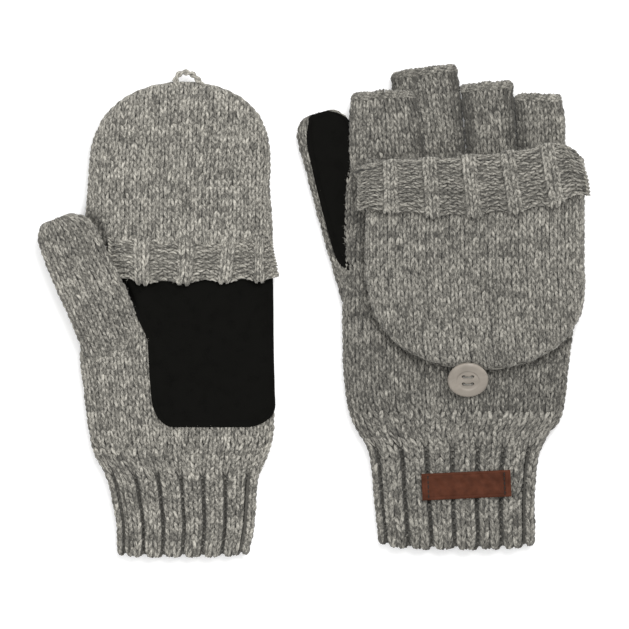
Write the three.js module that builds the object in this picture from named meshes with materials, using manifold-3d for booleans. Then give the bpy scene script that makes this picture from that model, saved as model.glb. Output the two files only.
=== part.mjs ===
// A pair of knitted flip-top mittens lying flat: the left one palm up with its cap closed over the
// finger stalls, the right one back up with its cap folded back and held by a button.
// Millimetres. +X to the right, +Y towards the fingertips, +Z up off the table.
import * as THREE from "three";
import { mergeVertices } from "three/addons/utils/BufferGeometryUtils.js";
import Module from "manifold-3d";

const wasm = await Module();
wasm.setup();

// Driving dimensions
const KNIT = 2.0; // one layer of knitted fabric
const RIB = 2.6; // one layer of ribbed fabric
const HAND_DEPTH = 10.4; // a flattened hand, both layers and the air between
const STALL_DEPTH = 8.0; // a flattened finger stall
const STALL_KNIT = 1.8; // one layer of a finger stall
const SUEDE = 0.9;
const GAP = 0.3; // between pieces that touch
const CAP_LIFT = 0.4; // the cap's sewn edge stands this far off the back of the hand
const DIMPLE = { depth: 4.4, wall: 1.6 }; // where a button presses up into the hand under it
const LEATHER = 1.4;
const LABEL = { width: 44.5, height: 13.3, corner: 1.4 };
const BUTTON = { radius: 10.2, depth: 2.8, dish: 5.2, dishDepth: 0.7, holeSpan: 2.2, holeRadius: 0.95 };
const THREAD_RADIUS = 0.35;
const SHANK_RADIUS = 1.4;
const YARN_RADIUS = 1.1; // the crocheted button loop
const THUMB_CLEAR = SUEDE + 0.5; // room round a thumb and its suede, so that it can swing
const THUMB_SWING = 20; // degrees outwards
const ARC_STEPS = 5; // facets on each folded edge of a flattened tube
const WIDE = 70; // half a width, and a height, that clear one mitten
const LONG = 260; // a length that clears one mitten

const colour = (hex, roughness) => new THREE.MeshStandardMaterial({ color: hex, roughness, metalness: 0 });
const MATERIALS = {
  wool: colour(0x8b8982, 0.95),
  suede: colour(0x16150f, 0.9),
  leather: colour(0x7a3f28, 0.6),
  button: colour(0xa39a8f, 0.45),
  thread: colour(0x9a958c, 0.8),
};

// Solids

// A closed three.js geometry as a manifold solid.
function solid(geometry) {
  const bare = geometry.index ? geometry.toNonIndexed() : geometry.clone();
  bare.deleteAttribute("normal");
  bare.deleteAttribute("uv");
  const merged = mergeVertices(bare, 1e-4);
  return new wasm.Manifold(
    new wasm.Mesh({
      numProp: 3,
      vertProperties: new Float32Array(merged.attributes.position.array),
      triVerts: new Uint32Array(merged.index.array),
    }),
  );
}

function meshOf(name, made, material) {
  const result = made.getMesh();
  const points = new Float32Array(result.numVert * 3);
  for (let i = 0; i < result.numVert; i++) {
    points.set(result.vertProperties.subarray(i * result.numProp, i * result.numProp + 3), i * 3);
  }
  const geometry = new THREE.BufferGeometry();
  geometry.setAttribute("position", new THREE.BufferAttribute(points, 3));
  geometry.setIndex(new THREE.BufferAttribute(result.triVerts, 1));
  const mesh = new THREE.Mesh(geometry, material);
  mesh.name = name;
  return mesh;
}

function box(x0, x1, y0, y1, z0, z1) {
  const geometry = new THREE.BoxGeometry(x1 - x0, y1 - y0, z1 - z0);
  return solid(geometry.translate((x0 + x1) / 2, (y0 + y1) / 2, (z0 + z1) / 2));
}

// All of one mitten between the heights z0 and z1, from y0 onwards.
const slab = (z0, z1, y0 = 0) => box(-WIDE, WIDE, y0, LONG, z0, z1);

// A plan outline raised from z0 to z1.
function prism(shape, z0, z1, curveSegments = 8) {
  const geometry = new THREE.ExtrudeGeometry(shape, { depth: z1 - z0, bevelEnabled: false, curveSegments });
  return solid(geometry.translate(0, 0, z0));
}

// An upright round bar.
function bar(x, y, z0, z1, radius, sides = 16) {
  const geometry = new THREE.CylinderGeometry(radius, radius, z1 - z0, sides).rotateX(Math.PI / 2);
  return solid(geometry.translate(x, y, (z0 + z1) / 2));
}

// One ring of points round a flattened tube, which folds in a half circle at each side.
function ring({ y, left, right, low, high }, inset) {
  const fold = Math.min(high - low, right - left) / 2;
  const middle = (high + low) / 2;
  const squash = (high - low) / 2 / fold;
  const points = [];
  for (const [x, start] of [[right - fold, -Math.PI / 2], [left + fold, Math.PI / 2]]) {
    for (let i = 0; i <= ARC_STEPS; i++) {
      const angle = start + (Math.PI * i) / ARC_STEPS;
      const reach = fold - inset;
      points.push([x + reach * Math.cos(angle), y, middle + squash * reach * Math.sin(angle)]);
    }
  }
  return points;
}

// A solid through rings of equal length, closed at both ends.
function loft(rings) {
  const count = rings[0].length;
  const points = rings.flat();
  const faces = [];
  for (let r = 0; r + 1 < rings.length; r++) {
    for (let i = 0; i < count; i++) {
      const a = r * count + i;
      const b = r * count + ((i + 1) % count);
      faces.push(a, a + count, b, b, a + count, b + count);
    }
  }
  const last = (rings.length - 1) * count;
  for (let i = 1; i + 1 < count; i++) {
    faces.push(0, i, i + 1);
    faces.push(last, last + i + 1, last + i);
  }
  const geometry = new THREE.BufferGeometry();
  geometry.setAttribute("position", new THREE.Float32BufferAttribute(points.flat(), 3));
  geometry.setIndex(faces);
  return solid(geometry);
}

const outside = (stations, grow = 0) => loft(stations.map((s) => ring(s, -grow)));

// The air inside a flattened tube. It runs out of each open end, and stops short of a closed one.
function hollow(stations, layer, openStart, openEnd) {
  const room = (s) => Math.min(s.right - s.left, s.high - s.low) > 2 * layer + 1;
  const inner = stations.filter(room);
  const first = inner[0];
  const last = inner.at(-1);
  if (openStart) inner[0] = { ...first, y: first.y - 1 };
  if (openEnd) inner[inner.length - 1] = { ...last, y: last.y + 1 };
  return loft(inner.map((s) => ring(s, layer)));
}

// A knitted tube. A notch is where another piece lies against it: the fabric folds in round the notch.
function knittedTube(stations, { layer = KNIT, openStart = true, openEnd = true, notch = null } = {}) {
  let outer = outside(stations);
  let inner = hollow(stations, layer, openStart, openEnd);
  if (notch) {
    outer = outer.subtract(notch(0));
    inner = inner.subtract(notch(layer));
  }
  return outer.subtract(inner);
}

// Thumbs

// Plan outline of a thumb stall: round at its base, at the origin, and round at its tip.
function thumbShape({ baseRadius, tipRadius, length }, grow) {
  const taper = Math.asin((baseRadius - tipRadius) / length);
  const shape = new THREE.Shape();
  shape.absarc(0, length, tipRadius + grow, taper, Math.PI - taper, false);
  shape.absarc(0, 0, baseRadius + grow, Math.PI - taper, 2 * Math.PI + taper, false);
  return shape;
}

// A thumb as a flattened tube along its own axis, round at both ends.
function thumbStations({ baseRadius, tipRadius, length, low, high }) {
  const ends = [0.08, 0.35, 0.6, 0.8, 0.93];
  const at = [
    ...ends.map((c) => [-baseRadius * Math.sqrt(1 - c * c), baseRadius * c]),
    [0, baseRadius],
    [length, tipRadius],
    ...ends.toReversed().map((c) => [length + tipRadius * Math.sqrt(1 - c * c), tipRadius * c]),
  ];
  const middle = (low + high) / 2;
  return at.map(([y, half]) => {
    const depth = Math.min((high - low) / 2, half);
    return { y, left: -half, right: half, low: middle - depth, high: middle + depth };
  });
}

const placed = (made, { pivot, lean }) => made.rotate([0, 0, lean]).translate([pivot.x, pivot.y, 0]);

// The space that a thumb takes as it swings, from z0 to z1.
function thumbSweep(thumb, z0, z1) {
  return (grow) =>
    wasm.Manifold.union(
      [0, THUMB_SWING / 2, THUMB_SWING].map((swing) =>
        placed(prism(thumbShape(thumb, THUMB_CLEAR + grow), z0 - grow, z1 + grow), {
          ...thumb,
          lean: thumb.lean + swing,
        }),
      ),
    );
}

function thumbStall(thumb, mouth) {
  const stations = thumbStations(thumb);
  const shell = outside(stations).subtract(hollow(stations, thumb.layer, false, false));
  return placed(shell, thumb).subtract(mouth);
}

// The suede on a thumb's pad, wrapped over one face from z0 to z1.
function thumbPatch(thumb, z0, z1) {
  const stations = thumbStations(thumb);
  const skin = outside(stations, SUEDE).subtract(outside(stations, 0.15));
  const reach = thumb.length + thumb.tipRadius + 5;
  const margin = 5;
  const area = new THREE.Shape();
  area.moveTo(margin - thumb.baseRadius + 2, thumb.patchStart);
  area.lineTo(margin - thumb.tipRadius, thumb.length);
  area.quadraticCurveTo(margin - thumb.tipRadius, thumb.length + thumb.tipRadius, 0, reach);
  area.lineTo(thumb.baseRadius + 5, reach);
  area.lineTo(thumb.baseRadius + 5, thumb.patchStart);
  return placed(skin.intersect(prism(area, z0, z1)), thumb);
}

// Caps

const CAP_ROUND = 2.8; // how square the cap's rounded end is

// Stations from the cap's open edge to its tip. u runs from the hinge line towards the tip.
function capStations({ from, roundFrom, tip, half, centre, tipCentre, depth }) {
  const steps = [0, 0.25, 0.45, 0.62, 0.76, 0.87, 0.94, 0.985];
  const straight = [from, (from + roundFrom) / 2].map((u) => [u, 0]);
  const round = steps.map((s) => [roundFrom + s * (tip - roundFrom), s]);
  return [...straight, ...round].map(([u, s]) => {
    const width = half * Math.sqrt(1 - s ** CAP_ROUND);
    const x = centre + (tipCentre - centre) * s;
    return { u, left: x - width, right: x + width, depth: depth * Math.sqrt(1 - s ** 4) };
  });
}

// Small parts

function fourHoleButton() {
  const { radius, depth, dish, dishDepth } = BUTTON;
  const profile = [
    [0, 0], [radius - 1.2, 0], [radius - 0.3, 0.7], [radius, depth - 0.9], [radius - 0.5, depth - 0.15],
    [radius - 1.2, depth], [dish + 0.8, depth - 0.25], [dish, depth - dishDepth], [0, depth - dishDepth],
  ].map(([r, z]) => new THREE.Vector2(r, z));
  const disc = solid(new THREE.LatheGeometry(profile, 28).rotateX(Math.PI / 2));
  const holes = buttonHoles().map(([x, y]) => bar(x, y, -1, depth + 1, BUTTON.holeRadius, 10));
  return disc.subtract(wasm.Manifold.union(holes));
}

function buttonHoles() {
  const s = BUTTON.holeSpan;
  return [[-s, -s], [s, -s], [-s, s], [s, s]];
}

// The sewing thread: two bars across the dish, down the holes, and a wound shank under the button.
function buttonThread(shankLength) {
  const s = BUTTON.holeSpan;
  const top = BUTTON.depth - BUTTON.dishDepth + THREAD_RADIUS;
  const pieces = [];
  for (const y of [-s, s]) {
    const across = new THREE.CylinderGeometry(THREAD_RADIUS, THREAD_RADIUS, 2 * s, 8).rotateZ(Math.PI / 2);
    pieces.push(solid(across.translate(0, y, top)));
  }
  for (const [x, y] of buttonHoles()) pieces.push(bar(x, y, -0.6, top, THREAD_RADIUS, 8));
  pieces.push(bar(0, 0, -0.9, -0.2, s * Math.SQRT2 + THREAD_RADIUS, 12));
  pieces.push(bar(0, 0, -shankLength, -0.5, SHANK_RADIUS, 12));
  return wasm.Manifold.union(pieces);
}

function leatherLabel() {
  const { width, height, corner } = LABEL;
  const shape = new THREE.Shape();
  shape.absarc(width / 2 - corner, height / 2 - corner, corner, 0, Math.PI / 2);
  shape.absarc(corner - width / 2, height / 2 - corner, corner, Math.PI / 2, Math.PI);
  shape.absarc(corner - width / 2, corner - height / 2, corner, Math.PI, 1.5 * Math.PI);
  shape.absarc(width / 2 - corner, corner - height / 2, corner, 1.5 * Math.PI, 2 * Math.PI);
  return prism(shape, 0, LEATHER, 3);
}

// A yarn loop through hand-placed points.
function yarnLoop(points) {
  const path = new THREE.CatmullRomCurve3(points.map((p) => new THREE.Vector3(...p)));
  const section = new THREE.Shape().absarc(0, 0, YARN_RADIUS, 0, 2 * Math.PI);
  return solid(new THREE.ExtrudeGeometry(section, { steps: 18, curveSegments: 4, extrudePath: path }));
}

// A suede patch's outline: straight sides, two round lower corners and a slanting upper corner.
function patchShape({ left, right, bottom, top, corner, slantX, slantY }) {
  const shape = new THREE.Shape();
  shape.moveTo(left, slantY);
  shape.lineTo(left, bottom + corner);
  shape.quadraticCurveTo(left, bottom, left + corner, bottom);
  shape.lineTo(right - corner, bottom);
  shape.quadraticCurveTo(right, bottom, right, bottom + corner);
  shape.lineTo(right, top);
  shape.lineTo(slantX, top);
  return shape;
}

const flatTube = (low, high, rows) => rows.map(([y, left, right]) => ({ y, left, right, low, high }));

// Left mitten: palm up, cap closed. Its own origin is the middle of the cuff's edge, on the table.

const LEFT = {
  cuffTop: 50,
  hinge: 156,
  brimSeam: 161.2,
  brimEdge: 139.2,
  thumb: {
    pivot: new THREE.Vector2(-34.5, 107.6), lean: 24.3, baseRadius: 16.4, tipRadius: 14.4, length: 55.2,
    low: 6.4, high: 15.4, layer: 1.8, patchStart: 14,
  },
  cap: { from: 0.4, roundFrom: 25.6, tip: 81.3, half: 47, centre: -3, tipCentre: 1.8, depth: 14 },
  button: new THREE.Vector2(1.8, 69.5),
  label: new THREE.Vector2(1, 27),
};

function leftMitten() {
  const { thumb, cap, hinge } = LEFT;
  const notch = thumbSweep(thumb, thumb.low - SUEDE - GAP, WIDE);
  const pieces = {};

  // The button and the label lie under this mitten, pressed up into the fabric.
  const handRows = [
    [LEFT.cuffTop + GAP, -43.5, 40.2], [58, -47.6, 44.3], [68, -49.8, 45.6],
    [100, -51.4, 45.6], [hinge - GAP, -49, 44.9],
  ];
  const handStations = flatTube(0, HAND_DEPTH, handRows);
  const { x: bx, y: by } = LEFT.button;
  const mouth = bar(thumb.pivot.x, thumb.pivot.y, 2.6, thumb.low + 3, 9);
  pieces.hand = knittedTube(handStations, { notch })
    .subtract(mouth)
    .add(bar(bx, by, 0, DIMPLE.depth + DIMPLE.wall, BUTTON.radius + KNIT, 24))
    .subtract(bar(bx, by, -1, DIMPLE.depth, BUTTON.radius + GAP, 24));

  const cuffRows = [[0, -33.9, 33.4], [20, -36, 36], [LEFT.cuffTop, -43, 40]];
  const labelRoom = box(
    LEFT.label.x - LABEL.width / 2 - GAP, LEFT.label.x + LABEL.width / 2 + GAP,
    LEFT.label.y - LABEL.height / 2 - GAP, LEFT.label.y + LABEL.height / 2 + GAP, -1, LEATHER + GAP,
  );
  pieces.cuff = knittedTube(flatTube(0, HAND_DEPTH, cuffRows), { layer: RIB }).subtract(labelRoom);

  const stallLow = KNIT + CAP_LIFT;
  const stalls = {
    index_stall: [[hinge + GAP, -36, -19.2], [hinge + 12, -39, -20], [hinge + 27, -44.5, -22]],
    middle_stall: [[hinge + GAP, -18.8, 0.8], [hinge + 38, -21.5, 0.2]],
    ring_stall: [[hinge + GAP, 1.2, 20.8], [hinge + 31, 0.7, 21]],
    pinky_stall: [[hinge + GAP, 21.2, 41], [hinge + 25, 21.5, 40.5]],
  };
  for (const [name, rows] of Object.entries(stalls)) {
    pieces[name] = knittedTube(flatTube(stallLow, stallLow + STALL_DEPTH, rows), { layer: STALL_KNIT });
  }

  pieces.thumb = thumbStall(thumb, mouth);
  pieces.thumb_patch = thumbPatch(thumb, thumb.low - 3, (thumb.low + thumb.high) / 2);

  const patch = patchShape({
    left: -18.4, right: 60, bottom: 66.3, top: 147, corner: 12, slantX: -34.6, slantY: 111,
  });
  pieces.palm_patch = outside(handStations, SUEDE + 0.2)
    .subtract(outside(handStations, 0.2))
    .intersect(prism(patch, HAND_DEPTH / 2 + 1, WIDE))
    .subtract(notch(0));

  const shell = capStations(cap).map((s) => ({ ...s, y: hinge + s.u, low: 0, high: s.depth }));
  const whole = knittedTube(shell, { openEnd: false, notch });
  const split = cap.depth / 2;
  pieces.cap_back = whole.intersect(slab(-1, split - GAP / 2));
  pieces.cap_front = whole.intersect(slab(split + GAP / 2, WIDE, LEFT.brimSeam));

  const brimRows = [[LEFT.brimEdge, -53.5, 49.8], [LEFT.brimSeam - GAP, -53.5, 48.6]];
  pieces.cap_brim = knittedTube(flatTube(-4.2, 14.6, brimRows), { layer: RIB })
    .intersect(slab(HAND_DEPTH / 2, WIDE))
    .subtract(notch(0));

  const tip = hinge + cap.tip;
  const yarnHeight = cap.depth / 2;
  pieces.button_loop = yarnLoop([
    [cap.tipCentre - 5.8, tip + 0.9, yarnHeight], [cap.tipCentre - 5.9, tip + 3.4, yarnHeight],
    [cap.tipCentre - 1, tip + 5.3, yarnHeight], [cap.tipCentre + 4.6, tip + 3.6, yarnHeight],
    [cap.tipCentre + 6, tip + 0.9, yarnHeight],
  ]);

  const underButton = 0.15;
  const faceDown = (made) => made.rotate([180, 0, 0]).translate([bx, by, BUTTON.depth + underButton]);
  pieces.button = faceDown(fourHoleButton());
  pieces.button_thread = faceDown(buttonThread(DIMPLE.depth - BUTTON.depth - underButton - GAP));
  pieces.label = leatherLabel().translate([LEFT.label.x, LEFT.label.y, 0.1]);
  return pieces;
}

// Right mitten: back up, cap folded back and buttoned. It stands on its palm patch.

const RIGHT = {
  base: 1.3, // the suede palm patch is under the hand
  cuffTop: 58,
  hinge: 199.9,
  brimFold: 202.6,
  brimEdge: 175.4,
  thumb: {
    pivot: new THREE.Vector2(-42.6, 127), lean: 16.4, baseRadius: 16.5, tipRadius: 13.8, length: 86.5,
    low: 1, high: 9.2, layer: 1.5, patchStart: 12,
  },
  cap: { from: 0.4, roundFrom: 58, tip: 109.6, half: 56, centre: 9.5, tipCentre: 4.8, depth: 14.1 },
  button: new THREE.Vector3(4.8, 85.7, 18.8),
  buttonTilt: 35, // the loop under its upper side holds it up
  shank: 4.6,
  label: { x: 5.4, y: 32.6, turn: 2 },
};

function rightMitten() {
  const { thumb, cap, hinge, base } = RIGHT;
  const top = base + HAND_DEPTH;
  const notch = thumbSweep(thumb, -WIDE, thumb.high + SUEDE + GAP);
  const pieces = {};

  const handRows = [
    [RIGHT.cuffTop + GAP, -46.5, 46], [66, -53.5, 53], [76, -55.4, 55.6],
    [100, -57.2, 58.6], [130, -57.4, 62], [hinge - GAP, -54.5, 57.2],
  ];
  const handStations = flatTube(base, top, handRows);
  const mouth = bar(thumb.pivot.x + thumb.baseRadius + 1, thumb.pivot.y, base + KNIT + 0.1, 7.6, 8);
  pieces.hand = knittedTube(handStations, { notch }).subtract(mouth);

  const cuffRows = [[0, -38.5, 38.5], [20, -40.5, 40.5], [RIGHT.cuffTop, -45.6, 45.4]];
  pieces.cuff = knittedTube(flatTube(base, top, cuffRows), { layer: RIB });

  const stalls = {
    index_stall: [[hinge + GAP, -46, -16.6], [hinge + 14, -48.6, -20], [hinge + 31.6, -52.3, -24.4]],
    middle_stall: [[hinge + GAP, -16.2, 5], [hinge + 31.6, -24, 1.2], [hinge + 44.4, -29, 0]],
    ring_stall: [[hinge + GAP, 5.4, 30.4], [hinge + 35.7, 2.4, 28.6]],
    pinky_stall: [[hinge + GAP, 30.8, 55.3], [hinge + 29.6, 31, 53.8]],
  };
  for (const [name, rows] of Object.entries(stalls)) {
    pieces[name] = knittedTube(flatTube(base, base + STALL_DEPTH, rows), { layer: STALL_KNIT });
  }

  pieces.thumb = thumbStall(thumb, mouth);
  pieces.thumb_patch = thumbPatch(thumb, (thumb.low + thumb.high) / 2, thumb.high + 3);

  const patch = patchShape({
    left: -22.5, right: 51.5, bottom: 80, top: 190, corner: 14, slantX: -38, slantY: 138,
  });
  pieces.palm_patch = prism(patch, 0, base - GAP, 5).subtract(notch(0));

  const capLow = top + 2 * CAP_LIFT;
  const shell = capStations(cap)
    .map((s) => ({ ...s, y: hinge - s.u, low: capLow, high: capLow + s.depth }))
    .toReversed();
  const whole = knittedTube(shell, { openStart: false });
  const split = capLow + cap.depth / 2;
  pieces.cap_back = whole.intersect(slab(capLow - 1, split - GAP / 2));
  pieces.cap_front = whole.intersect(slab(split + GAP / 2, WIDE));

  // The brim is turned up over the front of the cap.
  const brimLow = capLow + cap.depth + GAP;
  const brimRows = [[RIGHT.brimEdge, -54, 65.4], [RIGHT.brimFold, -50.5, 58]];
  pieces.cap_brim = knittedTube(flatTube(brimLow - 12, brimLow + RIB, brimRows), { layer: RIB })
    .intersect(slab(brimLow - 1, WIDE))
    .subtract(outside(shell, 3 * GAP));

  const { x: bx, y: by, z: bz } = RIGHT.button;
  pieces.button_loop = yarnLoop([
    [bx - 4.4, hinge - cap.tip - 0.9, top + 2.6], [bx - 4.2, by + 2, top + 1.9], [bx, by - 3.4, top + 1.5],
    [bx + 4.2, by + 2, top + 1.9], [bx + 4.4, hinge - cap.tip - 0.9, top + 2.6],
  ]);
  const tilted = (made) =>
    made.translate([0, 0, -BUTTON.depth / 2]).rotate([RIGHT.buttonTilt, 0, 0]).translate([bx, by, bz]);
  pieces.button = tilted(fourHoleButton());
  pieces.button_thread = tilted(buttonThread(RIGHT.shank)).subtract(slab(0, top + GAP));
  pieces.label = leatherLabel()
    .rotate([0, 0, RIGHT.label.turn])
    .translate([RIGHT.label.x, RIGHT.label.y, top + GAP]);
  return pieces;
}

// The pair

const FINISH = {
  palm_patch: "suede", thumb_patch: "suede", label: "leather", button: "button", button_thread: "thread",
};

function mitten(side, pieces, x, y) {
  const group = new THREE.Group();
  group.position.set(x, y, 0);
  for (const [name, made] of Object.entries(pieces)) {
    group.add(meshOf(`${side}_${name}`, made, MATERIALS[FINISH[name] ?? "wool"]));
  }
  return group;
}

const pair = new THREE.Group();
pair.add(mitten("left", leftMitten(), -66, -123.4));
pair.add(mitten("right", rightMitten(), 72.2, -119.9));

// The origin is the middle of the pair's footprint, on the table.
const extent = new THREE.Box3().setFromObject(pair);
const middle = extent.getCenter(new THREE.Vector3());
pair.position.set(-middle.x, -middle.y, -extent.min.z);

export default pair;
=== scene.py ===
"""A pair of knitted flip-top mittens on a white floor, seen from straight above.

Every shape is written in millimetres in its own mitten's frame, which is the CAD model's: the
origin is the middle of the cuff's edge on the floor, +Y runs to the fingertips and +Z is up.
"""
import math
import bpy
import numpy as np
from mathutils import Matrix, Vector


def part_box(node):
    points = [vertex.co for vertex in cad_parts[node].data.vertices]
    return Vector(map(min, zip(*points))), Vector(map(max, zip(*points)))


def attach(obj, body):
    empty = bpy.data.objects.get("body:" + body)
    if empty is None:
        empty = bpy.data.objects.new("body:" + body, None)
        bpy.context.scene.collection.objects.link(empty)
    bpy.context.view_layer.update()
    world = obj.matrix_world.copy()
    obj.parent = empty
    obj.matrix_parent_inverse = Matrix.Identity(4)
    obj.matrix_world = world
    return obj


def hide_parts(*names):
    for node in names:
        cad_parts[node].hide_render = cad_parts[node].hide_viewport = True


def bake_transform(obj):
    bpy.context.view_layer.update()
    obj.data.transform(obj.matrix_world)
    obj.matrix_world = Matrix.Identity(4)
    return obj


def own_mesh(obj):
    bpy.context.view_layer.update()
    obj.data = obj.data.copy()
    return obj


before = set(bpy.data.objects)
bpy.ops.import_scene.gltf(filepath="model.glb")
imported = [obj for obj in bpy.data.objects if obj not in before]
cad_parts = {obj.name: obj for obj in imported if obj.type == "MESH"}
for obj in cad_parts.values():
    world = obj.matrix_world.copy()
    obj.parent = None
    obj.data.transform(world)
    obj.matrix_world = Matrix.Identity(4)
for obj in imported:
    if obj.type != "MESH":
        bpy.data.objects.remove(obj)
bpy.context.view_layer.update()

# Driving dimensions, in millimetres
MM = 0.001
COLUMN = 3.85  # a stitch's width
ROW = {"left": 3.1, "right": 3.35}  # a stitch's height
YARN = 1.04  # the yarn's radius
RISE = 1.8  # how far the stitches stand above the cloth behind them
KNIT = 2.0  # one layer of knit
CAP_LAYER = 0.9  # one layer of the cap's thinner knit
HAND_TOP = 10.4
STALL_DEPTH = 8.6
INDEX_DEPTH = 6.6
RIGHT_BASE = 1.3
FRAME_WIDTH = 314.5  # the width that the camera sees
CAMERA_HEIGHT = 6000
CAMERA_AIM = (0.52, -2.25)
FLOOR = -1.4  # the lowest stitches sink half a millimetre into it

# How much lighter each part is drawn than the wool's middle tone. The offsets are matched to each part's
# brightness, so they partly paint light and shade: the darker hands, cuffs and stalls carry painted shade
THUMB_TONE = -0.05
STALL_TONE = {"left": -0.012, "right": -0.042}
BRIM_TONE = {"left": 0.02, "right": 0.045}
CUFF_TONE = {"left": -0.055, "right": -0.03}
HAND_TONE = {"left": -0.012, "right": -0.075}

button = {side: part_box(f"{side}_button") for side in ("left", "right")}
cuff = {side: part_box(f"{side}_cuff") for side in ("left", "right")}
BUTTON_X = {"left": 1.8, "right": 4.8}  # the button's middle, sideways from the cuff's
ORIGIN = {
    side: np.array([
        (button[side][0].x + button[side][1].x) / 2 / MM - BUTTON_X[side],
        cuff[side][0].y / MM,
        0.0,
    ])
    for side in ("left", "right")
}


# Stage

def camera():
    data = bpy.data.cameras.new("camera")
    data.sensor_width = 36
    data.lens = 36 * CAMERA_HEIGHT / FRAME_WIDTH
    data.clip_start = 0.1
    data.clip_end = 10
    made = bpy.data.objects.new("camera", data)
    made.location = (CAMERA_AIM[0] * MM, CAMERA_AIM[1] * MM, CAMERA_HEIGHT * MM)
    bpy.context.scene.collection.objects.link(made)
    bpy.context.scene.camera = made


def area_light(name, place, aim, size, watts):
    data = bpy.data.lights.new(name, "AREA")
    data.shape = "DISK"
    data.size = size
    data.energy = watts
    made = bpy.data.objects.new(name, data)
    made.location = place
    made.rotation_euler = (Vector(aim) - Vector(place)).to_track_quat("-Z", "Y").to_euler()
    bpy.context.scene.collection.objects.link(made)


def studio():
    world = bpy.data.worlds.new("studio")
    world.use_nodes = True
    backdrop = world.node_tree.nodes["Background"]
    backdrop.inputs["Color"].default_value = (1, 1, 1, 1)
    backdrop.inputs["Strength"].default_value = 0.72
    bpy.context.scene.world = world
    area_light("key", (0.28, 0.55, 1.3), (0, 0, 0), 0.8, 14)
    area_light("fill", (-0.4, -0.3, 1.5), (0, 0, 0), 1.2, 5)
    bpy.context.scene.view_settings.view_transform = "Standard"

    floor_material, shader = new_material("floor", (0.95, 0.95, 0.95), 0.9)
    shader.inputs["Emission Color"].default_value = (1, 1, 1, 1)
    shader.inputs["Emission Strength"].default_value = 0.22
    mesh = bpy.data.meshes.new("floor")
    reach = 3
    corners = [(-reach, -reach, 0), (reach, -reach, 0), (reach, reach, 0), (-reach, reach, 0)]
    mesh.from_pydata(corners, [], [(0, 1, 2, 3)])
    mesh.materials.append(floor_material)
    floor = bpy.data.objects.new("floor", mesh)
    floor.location.z = FLOOR * MM
    bpy.context.scene.collection.objects.link(floor)


# Materials

def new_material(name, colour, roughness):
    made = bpy.data.materials.new(name)
    made.use_nodes = True
    shader = made.node_tree.nodes["Principled BSDF"]
    shader.inputs["Base Color"].default_value = (*colour, 1)
    shader.inputs["Roughness"].default_value = roughness
    return made, shader


def node(tree, kind, links=(), **settings):
    """A new shader node, with its sockets linked or set by name."""
    made = tree.nodes.new(kind)
    for key, value in settings.items():
        if hasattr(made, key):
            setattr(made, key, value)
        else:
            made.inputs[key.replace("_", " ").title()].default_value = value
    for socket, source in links:
        tree.links.new(source, made.inputs[socket])
    return made


def colour_by(tree, shader, source, stops):
    """The shader's colour follows a value, through a ramp of (value, colour) stops."""
    made = tree.nodes.new("ShaderNodeValToRGB")
    tree.links.new(source, made.inputs["Fac"])
    elements = made.color_ramp.elements
    while len(elements) < len(stops):
        elements.new(0.5)
    for element, (position, colour) in zip(elements, stops):
        element.position = position
        element.color = (*colour, 1)
    tree.links.new(made.outputs["Color"], shader.inputs["Base Color"])


def noise(tree, at, **settings):
    return node(tree, "ShaderNodeTexNoise", [("Vector", at)], **settings)


def total(tree, a, b):
    return node(tree, "ShaderNodeMath", [(0, a), (1, b)], operation="ADD").outputs[0]


def add_bump(tree, shader, height, strength, distance=0.0002):
    made = node(tree, "ShaderNodeBump", [("Height", height)], strength=strength, distance=distance)
    tree.links.new(made.outputs["Normal"], shader.inputs["Normal"])


def wool(name, lightness):
    """Heathered yarn: fibres streak along the yarn, and its tone wanders from stitch to stitch."""
    made, shader = new_material(name, (0.3, 0.3, 0.28), 0.92)
    tree = made.node_tree
    yarn = node(tree, "ShaderNodeAttribute", attribute_name="yarn").outputs["Vector"]
    tone = node(tree, "ShaderNodeAttribute", attribute_name="tone").outputs["Fac"]
    streak_at = node(tree, "ShaderNodeVectorMath", [(0, yarn)], operation="MULTIPLY")
    streak_at.inputs[1].default_value = (1.0, 1.7, 1)
    streak = noise(tree, streak_at.outputs[0], scale=1.0, detail=2.0)
    fleck = noise(tree, streak_at.outputs[0], scale=0.37, detail=1.0)
    toned = total(tree, total(tree, streak.outputs["Fac"], fleck.outputs["Fac"]), tone)
    low, high = WOOL_TONES[0][0], WOOL_TONES[-1][0]
    spread = node(tree, "ShaderNodeMapRange", [("Value", toned)], from_min=low, from_max=high)
    colour_by(tree, shader, spread.outputs["Result"], wool_stops(lightness))
    add_bump(tree, shader, streak.outputs["Fac"], 0.5, 0.0004)
    shader.inputs["Sheen Weight"].default_value = 0.12
    shader.inputs["Sheen Roughness"].default_value = 0.6
    shader.inputs["Specular IOR Level"].default_value = 0.1
    return made


# From dark fibres to light ones. The noises and the tone add up to about 1 in the middle.
WOOL_TONES = [(0.74, 0.13), (0.88, 0.24), (1.0, 0.37), (1.12, 0.54), (1.3, 0.84)]
WARM_GREY = (1.0, 0.955, 0.84)


def wool_stops(lightness):
    low, high = WOOL_TONES[0][0], WOOL_TONES[-1][0]
    return [
        ((place - low) / (high - low), tuple(tone * lightness * warm for warm in WARM_GREY))
        for place, tone in WOOL_TONES
    ]


def suede():
    made, shader = new_material("suede", (0.012, 0.0118, 0.0102), 0.95)
    tree = made.node_tree
    place = node(tree, "ShaderNodeTexCoord").outputs["Object"]
    nap = noise(tree, place, scale=2600.0, detail=3.0)
    blotch = noise(tree, place, scale=160.0, detail=4.0)
    mixed = total(tree, nap.outputs["Fac"], blotch.outputs["Fac"])
    blacks = [(0.3, (0.0016, 0.0016, 0.0014)), (1.0, (0.0052, 0.0051, 0.0045))]
    colour_by(tree, shader, mixed, blacks)
    add_bump(tree, shader, nap.outputs["Fac"], 0.5)
    shader.inputs["Sheen Weight"].default_value = 0.004
    shader.inputs["Specular IOR Level"].default_value = 0.02
    return made


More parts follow.
